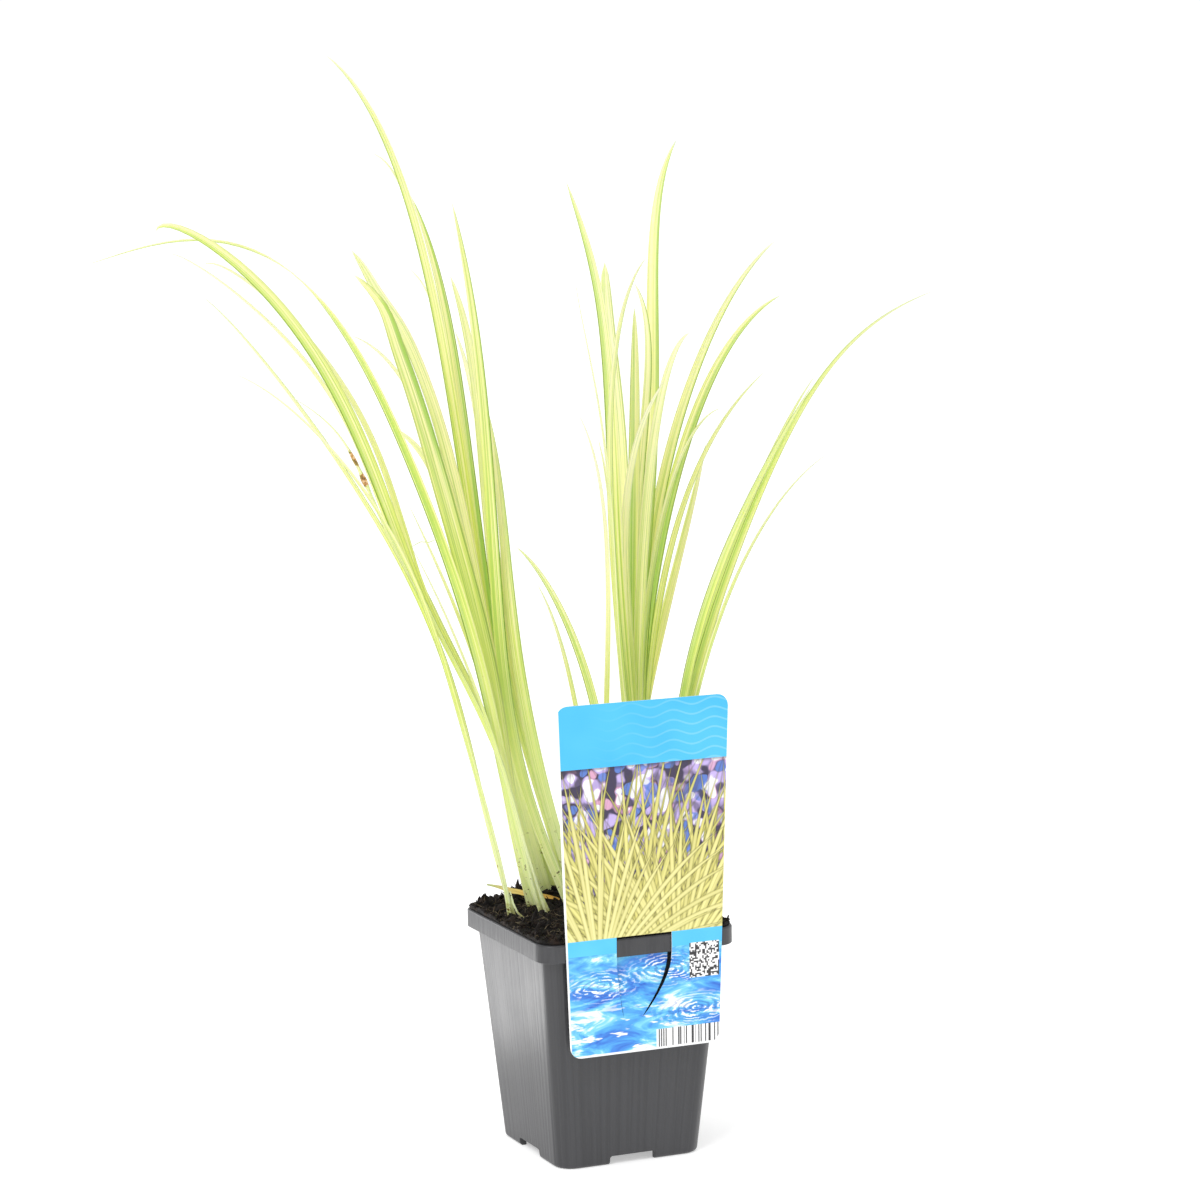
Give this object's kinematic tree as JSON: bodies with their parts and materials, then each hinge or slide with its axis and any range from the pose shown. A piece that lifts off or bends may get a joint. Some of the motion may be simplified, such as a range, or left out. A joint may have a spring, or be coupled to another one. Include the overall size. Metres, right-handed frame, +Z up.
{
  "type": "potted ornamental grass",
  "caption": "Square nursery pot of soil with a clump of long arching variegated grassy leaves and a plastic plant tag hooked on the rim.",
  "frame": {"origin": "centre of the pot's underside, on the surface it stands on", "axes": "+Z up; the pot's flat sides face along X and Y; the plant tag hangs on the side that faces -Y"},
  "size_m": [0.318, 0.2139, 0.467],
  "materials": {
    "pot_plastic": "satin, fine moulding lines",
    "soil": "moist fibrous peat",
    "tag_plastic": "printed card, soft gloss",
    "leaf": "satin, lengthwise green and cream stripes",
    "dry_leaf": "dull, dried"
  },
  "bodies": {
    "root": {"back_shoot_leaf_1": "leaf", "back_shoot_leaf_2": "leaf", "back_shoot_leaf_3": "leaf", "back_shoot_leaf_4": "leaf", "back_shoot_leaf_5": "leaf", "back_shoot_leaf_6": "leaf", "fallen_leaf": "dry_leaf", "far_right_shoot_leaf_1": "leaf", "far_right_shoot_leaf_2": "leaf", "far_right_shoot_leaf_3": "leaf", "far_right_shoot_leaf_4": "leaf", "front_shoot_leaf_1": "leaf", "front_shoot_leaf_2": "leaf", "left_shoot_leaf_1": "leaf", "left_shoot_leaf_2": "leaf", "left_shoot_leaf_3": "leaf", "left_shoot_leaf_4": "leaf", "left_shoot_leaf_5": "leaf", "left_shoot_leaf_6": "leaf", "left_shoot_leaf_7": "leaf", "left_shoot_leaf_8": "leaf", "left_shoot_leaf_9": "leaf", "middle_shoot_leaf_1": "leaf", "middle_shoot_leaf_2": "leaf", "middle_shoot_leaf_3": "leaf", "middle_shoot_leaf_4": "leaf", "plant_tag": "tag_plastic", "pot": "pot_plastic", "right_shoot_leaf_1": "leaf", "right_shoot_leaf_10": "leaf", "right_shoot_leaf_11": "leaf", "right_shoot_leaf_12": "leaf", "right_shoot_leaf_13": "leaf", "right_shoot_leaf_14": "leaf", "right_shoot_leaf_15": "leaf", "right_shoot_leaf_2": "leaf", "right_shoot_leaf_3": "leaf", "right_shoot_leaf_4": "leaf", "right_shoot_leaf_5": "leaf", "right_shoot_leaf_6": "leaf", "right_shoot_leaf_7": "leaf", "right_shoot_leaf_8": "leaf", "right_shoot_leaf_9": "leaf", "small_shoot_leaf_1": "leaf", "small_shoot_leaf_2": "leaf", "small_shoot_leaf_3": "leaf", "soil": "soil"}
  },
  "joints": []
}
